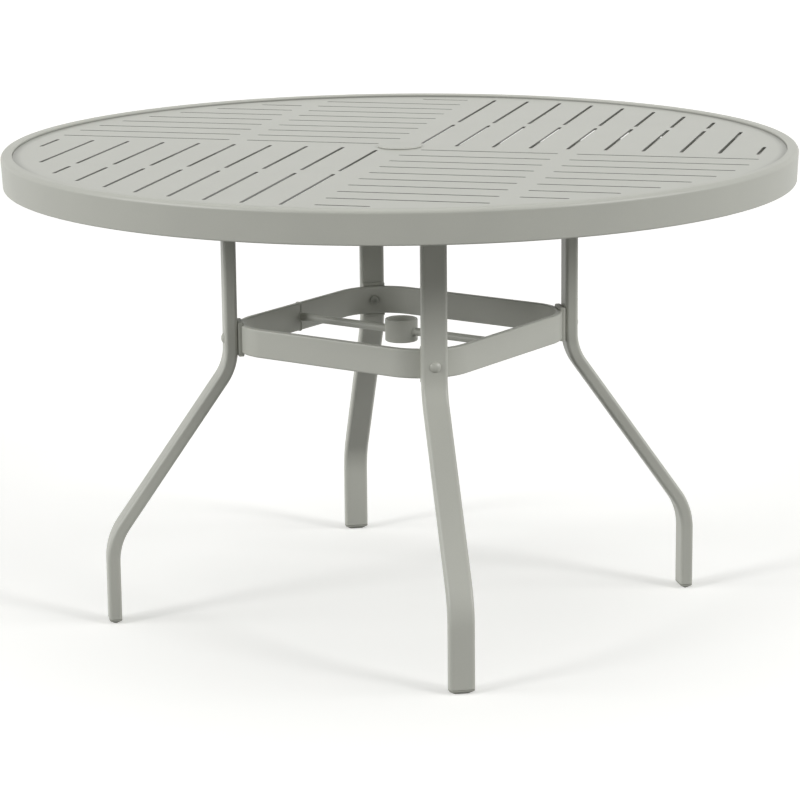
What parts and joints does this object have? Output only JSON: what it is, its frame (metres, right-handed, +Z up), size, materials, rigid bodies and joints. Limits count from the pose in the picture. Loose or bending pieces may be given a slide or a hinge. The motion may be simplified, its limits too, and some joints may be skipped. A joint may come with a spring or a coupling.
{
  "type": "patio dining table",
  "caption": "Round metal patio table: slotted top in a deep rim, splayed tube legs, a rounded-square brace with an umbrella collar, and a lift-out hole plug.",
  "frame": {"origin": "on the floor under the middle of the round top", "axes": "+Z up; the cross rods lie along X, with +X towards the side between the front and the right leg; the legs stand on the diagonals"},
  "size_m": [1.219, 1.2191, 0.7366],
  "materials": {
    "powder_coat_frame": "satin",
    "powder_coat_sheet": "satin",
    "plug_plastic": "matte",
    "glide_nylon": "matte",
    "saddle_plastic": "matte",
    "painted_fasteners": "satin",
    "zinc_steel": "polished"
  },
  "bodies": {
    "table": {"rim": "powder_coat_frame", "top_sheet": "powder_coat_sheet", "hub_sleeve": "powder_coat_frame", "front_rail": "powder_coat_frame", "right_rail": "powder_coat_frame", "back_rail": "powder_coat_frame", "left_rail": "powder_coat_frame", "front_leg": "powder_coat_frame", "right_leg": "powder_coat_frame", "back_leg": "powder_coat_frame", "left_leg": "powder_coat_frame", "front_leg_plate": "powder_coat_frame", "right_leg_plate": "powder_coat_frame", "back_leg_plate": "powder_coat_frame", "left_leg_plate": "powder_coat_frame", "front_glide": "glide_nylon", "right_glide": "glide_nylon", "back_glide": "glide_nylon", "left_glide": "glide_nylon", "brace_ring": "powder_coat_frame", "cross_rod_seam_side": "powder_coat_frame", "cross_rod_far_side": "powder_coat_frame", "umbrella_collar": "powder_coat_frame", "front_saddle": "saddle_plastic", "right_saddle": "saddle_plastic", "back_saddle": "saddle_plastic", "left_saddle": "saddle_plastic", "ring_bolts": "painted_fasteners", "cap_nuts": "painted_fasteners", "plate_screws": "zinc_steel", "weld_nuts": "zinc_steel"},
    "plug": {"hole_plug": "plug_plastic"}
  },
  "joints": [
    {"name": "plug_lift", "type": "slide", "parent": "table", "child": "plug", "axis": [0, 0, 1], "range_m": [0, 0.12]}
  ]
}
